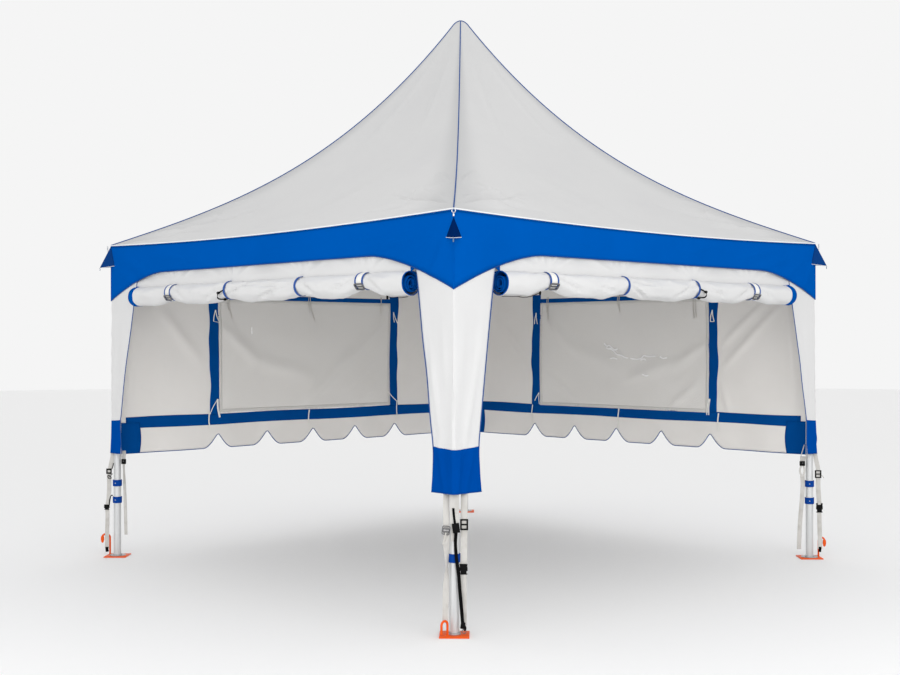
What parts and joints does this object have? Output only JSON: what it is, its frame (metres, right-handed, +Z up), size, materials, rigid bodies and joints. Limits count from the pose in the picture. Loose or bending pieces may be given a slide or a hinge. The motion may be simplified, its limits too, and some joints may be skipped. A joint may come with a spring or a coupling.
{
  "type": "high peak tent",
  "caption": "Square event tent with a tall four-sided peaked roof, blue eave bands, rolled and hung fabric walls and strapped corner legs on base plates.",
  "frame": {"origin": "on the ground, at the centre of the four legs, straight under the roof's peak", "axes": "+Z up; +X towards the right side and -Y towards the front side, the two sides whose walls are rolled up"},
  "size_m": [4.2546, 4.2546, 4.3819],
  "materials": {
    "aluminium": "satin anodised tube",
    "cast_aluminium": "as-cast, lightly blasted",
    "wire": "galvanised wire rope",
    "orange_steel": "semi-gloss orange powder coat",
    "roof_fabric": "coated polyester, satin, pale grey white",
    "white_fabric": "coated polyester, satin, white",
    "blue_fabric": "coated polyester, satin, bright blue",
    "clear_film": "clear flexible window film",
    "webbing": "woven polyester webbing, pale grey"
  },
  "bodies": {
    "root": {"leg_front_left": "aluminium", "leg_front_right": "aluminium", "leg_back_left": "aluminium", "leg_back_right": "aluminium", "base_plate_front_left": "orange_steel", "base_plate_front_right": "orange_steel", "base_plate_back_left": "orange_steel", "base_plate_back_right": "orange_steel", "eave_beam_front": "aluminium", "eave_beam_right": "aluminium", "eave_beam_back": "aluminium", "eave_beam_left": "aluminium", "corner_bracket_front_left": "cast_aluminium", "corner_bracket_front_right": "cast_aluminium", "corner_bracket_back_left": "cast_aluminium", "corner_bracket_back_right": "cast_aluminium", "cross_stays": "wire", "centre_mast": "aluminium", "mast_foot": "cast_aluminium", "mast_cap": "cast_aluminium", "roof_front": "roof_fabric", "roof_right": "roof_fabric", "roof_back": "roof_fabric", "roof_left": "roof_fabric", "band_front": "blue_fabric", "band_right": "blue_fabric", "band_back": "blue_fabric", "band_left": "blue_fabric", "drape_front_left": "white_fabric", "drape_front_right": "white_fabric", "drape_back_left": "white_fabric", "drape_back_right": "white_fabric", "hood_front_left": "blue_fabric", "hood_front_right": "blue_fabric", "hood_back_left": "blue_fabric", "hood_back_right": "blue_fabric", "wall_header_front": "white_fabric", "wall_header_right": "white_fabric", "wall_roll_front": "white_fabric", "wall_roll_right": "white_fabric", "wall_back": "white_fabric", "wall_left": "white_fabric", "window_back": "clear_film", "window_left": "clear_film", "tie_strap_front_left": "webbing", "tie_strap_front_right": "webbing", "tie_strap_back_left": "webbing", "tie_strap_back_right": "webbing"}
  },
  "joints": []
}
